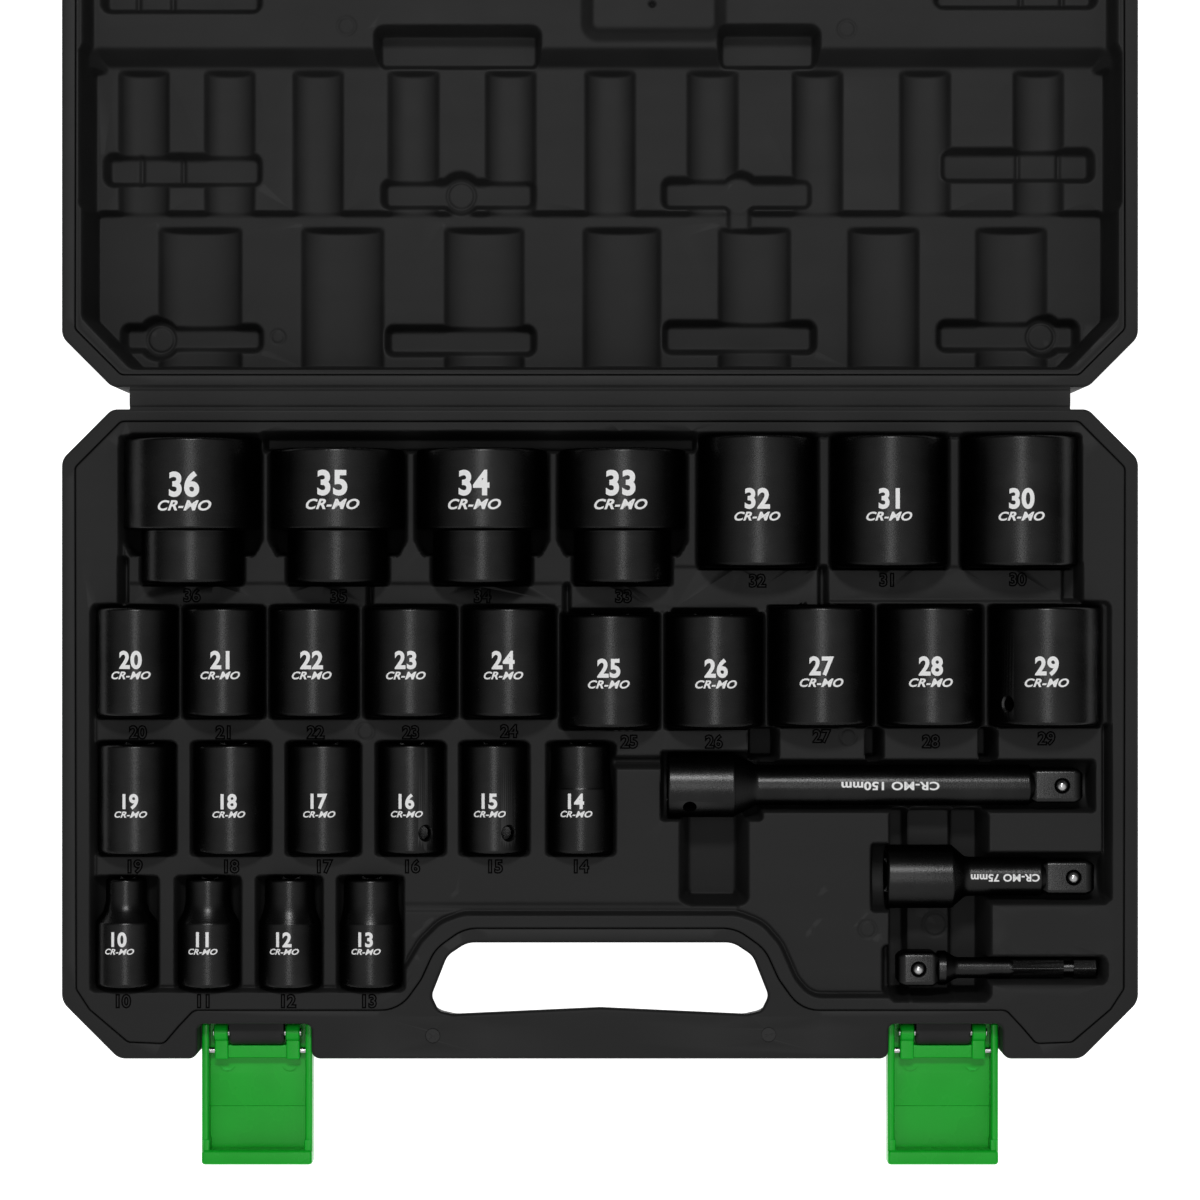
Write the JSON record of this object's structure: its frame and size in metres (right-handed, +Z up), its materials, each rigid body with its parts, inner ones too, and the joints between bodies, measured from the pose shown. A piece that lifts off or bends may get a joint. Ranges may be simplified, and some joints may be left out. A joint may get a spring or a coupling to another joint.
{
  "type": "socket wrench set in case",
  "caption": "Half-inch drive impact socket set with two extension bars and a hex bit adapter, in a hinged blow-moulded carrying case with two green toggle latches.",
  "frame": {"origin": "centre of the base half's underside, where it stands", "axes": "+Z up out of the open case, +Y from the carrying handle towards the hinge and the open lid, +X to the right along the hinge"},
  "size_m": [0.3864, 0.5132, 0.0635],
  "materials": {
    "case_plastic": "charcoal black blow-moulded polyethylene, fine grain, satin",
    "latch_plastic": "bright green injection-moulded plastic, glossy",
    "impact_steel": "black phosphate and oil on turned alloy steel, satin with fine turning marks",
    "bright_steel": "bright polished steel"
  },
  "bodies": {
    "base_half": {"base_outer_shell": "case_plastic", "base_tray_back_left": "case_plastic", "base_tray_back_centre": "case_plastic", "base_tray_back_right": "case_plastic", "base_tray_middle_row": "case_plastic", "base_tray_front_left": "case_plastic", "base_tray_front_centre": "case_plastic", "base_tray_handle_row": "case_plastic", "base_tray_bars": "case_plastic", "living_hinge": "case_plastic", "latch_left_case_pin": "bright_steel", "latch_right_case_pin": "bright_steel"},
    "lid_half": {"lid_outer_shell": "case_plastic", "lid_inner_liner": "case_plastic"},
    "latch_left_link": {"latch_left_link": "latch_plastic", "latch_left_link_pin": "bright_steel"},
    "latch_left_lever": {"latch_left_lever": "latch_plastic"},
    "latch_right_link": {"latch_right_link": "latch_plastic", "latch_right_link_pin": "bright_steel"},
    "latch_right_lever": {"latch_right_lever": "latch_plastic"},
    "socket_10": {"socket_10": "impact_steel"},
    "socket_11": {"socket_11": "impact_steel"},
    "socket_12": {"socket_12": "impact_steel"},
    "socket_13": {"socket_13": "impact_steel"},
    "socket_14": {"socket_14": "impact_steel"},
    "socket_15": {"socket_15": "impact_steel"},
    "socket_16": {"socket_16": "impact_steel"},
    "socket_17": {"socket_17": "impact_steel"},
    "socket_18": {"socket_18": "impact_steel"},
    "socket_19": {"socket_19": "impact_steel"},
    "socket_20": {"socket_20": "impact_steel"},
    "socket_21": {"socket_21": "impact_steel"},
    "socket_22": {"socket_22": "impact_steel"},
    "socket_23": {"socket_23": "impact_steel"},
    "socket_24": {"socket_24": "impact_steel"},
    "socket_25": {"socket_25": "impact_steel"},
    "socket_26": {"socket_26": "impact_steel"},
    "socket_27": {"socket_27": "impact_steel"},
    "socket_28": {"socket_28": "impact_steel"},
    "socket_29": {"socket_29": "impact_steel"},
    "socket_30": {"socket_30": "impact_steel"},
    "socket_31": {"socket_31": "impact_steel"},
    "socket_32": {"socket_32": "impact_steel"},
    "socket_33": {"socket_33": "impact_steel"},
    "socket_34": {"socket_34": "impact_steel"},
    "socket_35": {"socket_35": "impact_steel"},
    "socket_36": {"socket_36": "impact_steel"},
    "extension_150": {"extension_bar_150": "impact_steel", "detent_spring_150": "bright_steel"},
    "extension_75": {"extension_bar_75": "impact_steel", "detent_spring_75": "bright_steel"},
    "hex_adapter": {"hex_adapter": "impact_steel", "detent_spring_adapter": "bright_steel"},
    "ball_150": {"detent_ball_150": "bright_steel"},
    "ball_75": {"detent_ball_75": "bright_steel"},
    "ball_adapter": {"detent_ball_adapter": "bright_steel"}
  },
  "joints": [
    {"name": "case_lid_hinge", "type": "hinge", "parent": "base_half", "child": "lid_half", "pos_m": [0, 0.1188, 0.042], "axis": [-1, 0, 0], "range_deg": [-180, 0], "deforming": ["living_hinge"]},
    {"name": "latch_left_link_hinge", "type": "hinge", "parent": "base_half", "child": "latch_left_link", "pos_m": [-0.12445, -0.1109, 0.031], "axis": [1, 0, 0], "range_deg": [-78, 0]},
    {"name": "latch_left_lever_hinge", "type": "hinge", "parent": "latch_left_link", "child": "latch_left_lever", "pos_m": [-0.12445, -0.1178, 0.029], "axis": [1, 0, 0], "range_deg": [-12, 0]},
    {"name": "latch_right_link_hinge", "type": "hinge", "parent": "base_half", "child": "latch_right_link", "pos_m": [0.12445, -0.1109, 0.031], "axis": [1, 0, 0], "range_deg": [-78, 0]},
    {"name": "latch_right_lever_hinge", "type": "hinge", "parent": "latch_right_link", "child": "latch_right_lever", "pos_m": [0.12445, -0.1178, 0.029], "axis": [1, 0, 0], "range_deg": [-12, 0]},
    {"name": "lift_socket_10", "type": "slide", "parent": "base_half", "child": "socket_10", "axis": [0, 0, 1], "range_m": [0, 0.06]},
    {"name": "lift_socket_11", "type": "slide", "parent": "base_half", "child": "socket_11", "axis": [0, 0, 1], "range_m": [0, 0.06]},
    {"name": "lift_socket_12", "type": "slide", "parent": "base_half", "child": "socket_12", "axis": [0, 0, 1], "range_m": [0, 0.06]},
    {"name": "lift_socket_13", "type": "slide", "parent": "base_half", "child": "socket_13", "axis": [0, 0, 1], "range_m": [0, 0.06]},
    {"name": "lift_socket_14", "type": "slide", "parent": "base_half", "child": "socket_14", "axis": [0, 0, 1], "range_m": [0, 0.06]},
    {"name": "lift_socket_15", "type": "slide", "parent": "base_half", "child": "socket_15", "axis": [0, 0, 1], "range_m": [0, 0.06]},
    {"name": "lift_socket_16", "type": "slide", "parent": "base_half", "child": "socket_16", "axis": [0, 0, 1], "range_m": [0, 0.06]},
    {"name": "lift_socket_17", "type": "slide", "parent": "base_half", "child": "socket_17", "axis": [0, 0, 1], "range_m": [0, 0.06]},
    {"name": "lift_socket_18", "type": "slide", "parent": "base_half", "child": "socket_18", "axis": [0, 0, 1], "range_m": [0, 0.06]},
    {"name": "lift_socket_19", "type": "slide", "parent": "base_half", "child": "socket_19", "axis": [0, 0, 1], "range_m": [0, 0.06]},
    {"name": "lift_socket_20", "type": "slide", "parent": "base_half", "child": "socket_20", "axis": [0, 0, 1], "range_m": [0, 0.06]},
    {"name": "lift_socket_21", "type": "slide", "parent": "base_half", "child": "socket_21", "axis": [0, 0, 1], "range_m": [0, 0.06]},
    {"name": "lift_socket_22", "type": "slide", "parent": "base_half", "child": "socket_22", "axis": [0, 0, 1], "range_m": [0, 0.06]},
    {"name": "lift_socket_23", "type": "slide", "parent": "base_half", "child": "socket_23", "axis": [0, 0, 1], "range_m": [0, 0.06]},
    {"name": "lift_socket_24", "type": "slide", "parent": "base_half", "child": "socket_24", "axis": [0, 0, 1], "range_m": [0, 0.06]},
    {"name": "lift_socket_25", "type": "slide", "parent": "base_half", "child": "socket_25", "axis": [0, 0, 1], "range_m": [0, 0.06]},
    {"name": "lift_socket_26", "type": "slide", "parent": "base_half", "child": "socket_26", "axis": [0, 0, 1], "range_m": [0, 0.06]},
    {"name": "lift_socket_27", "type": "slide", "parent": "base_half", "child": "socket_27", "axis": [0, 0, 1], "range_m": [0, 0.06]},
    {"name": "lift_socket_28", "type": "slide", "parent": "base_half", "child": "socket_28", "axis": [0, 0, 1], "range_m": [0, 0.06]},
    {"name": "lift_socket_29", "type": "slide", "parent": "base_half", "child": "socket_29", "axis": [0, 0, 1], "range_m": [0, 0.06]},
    {"name": "lift_socket_30", "type": "slide", "parent": "base_half", "child": "socket_30", "axis": [0, 0, 1], "range_m": [0, 0.06]},
    {"name": "lift_socket_31", "type": "slide", "parent": "base_half", "child": "socket_31", "axis": [0, 0, 1], "range_m": [0, 0.06]},
    {"name": "lift_socket_32", "type": "slide", "parent": "base_half", "child": "socket_32", "axis": [0, 0, 1], "range_m": [0, 0.06]},
    {"name": "lift_socket_33", "type": "slide", "parent": "base_half", "child": "socket_33", "axis": [0, 0, 1], "range_m": [0, 0.06]},
    {"name": "lift_socket_34", "type": "slide", "parent": "base_half", "child": "socket_34", "axis": [0, 0, 1], "range_m": [0, 0.06]},
    {"name": "lift_socket_35", "type": "slide", "parent": "base_half", "child": "socket_35", "axis": [0, 0, 1], "range_m": [0, 0.06]},
    {"name": "lift_socket_36", "type": "slide", "parent": "base_half", "child": "socket_36", "axis": [0, 0, 1], "range_m": [0, 0.06]},
    {"name": "lift_extension_150", "type": "slide", "parent": "base_half", "child": "extension_150", "axis": [0, 0, 1], "range_m": [0, 0.05]},
    {"name": "lift_extension_75", "type": "slide", "parent": "base_half", "child": "extension_75", "axis": [0, 0, 1], "range_m": [0, 0.05]},
    {"name": "lift_hex_adapter", "type": "slide", "parent": "base_half", "child": "hex_adapter", "axis": [0, 0, 1], "range_m": [0, 0.04]},
    {"name": "spring_ball_150", "type": "slide", "parent": "extension_150", "child": "ball_150", "axis": [0, 0, 1], "range_m": [-0.0012, 0], "stiffness_N_per_m": 400, "springref_m": 0.0005, "deforming": ["detent_spring_150"]},
    {"name": "spring_ball_75", "type": "slide", "parent": "extension_75", "child": "ball_75", "axis": [0, 0, 1], "range_m": [-0.0012, 0], "stiffness_N_per_m": 400, "springref_m": 0.0005, "deforming": ["detent_spring_75"]},
    {"name": "spring_ball_adapter", "type": "slide", "parent": "hex_adapter", "child": "ball_adapter", "axis": [0, 0, 1], "range_m": [-0.0012, 0], "stiffness_N_per_m": 400, "springref_m": 0.0005, "deforming": ["detent_spring_adapter"]}
  ]
}
